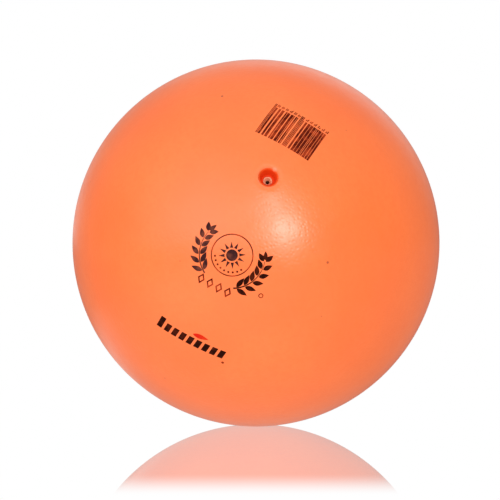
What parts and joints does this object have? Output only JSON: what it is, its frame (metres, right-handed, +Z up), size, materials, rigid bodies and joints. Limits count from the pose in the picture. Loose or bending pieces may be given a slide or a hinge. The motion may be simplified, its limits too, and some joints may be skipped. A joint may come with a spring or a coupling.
{
  "type": "inflatable play ball",
  "caption": "Smooth hollow orange ball for gymnastics and play, with a recessed needle valve and dark printed marks.",
  "frame": {"origin": "centre of the ball", "axes": "+Z up as the ball stands on a floor; the needle valve points to -Y and 20 degrees above the horizontal"},
  "size_m": [0.185, 0.1849, 0.185],
  "materials": {
    "orange_pvc": "satin",
    "red_orange_pvc": "satin",
    "cream_rubber": "matte",
    "dark_ink": "satin",
    "red_ink": "satin"
  },
  "bodies": {
    "root": {"ball_skin": "orange_pvc", "valve_seat": "red_orange_pvc", "valve_core": "cream_rubber"}
  },
  "joints": []
}
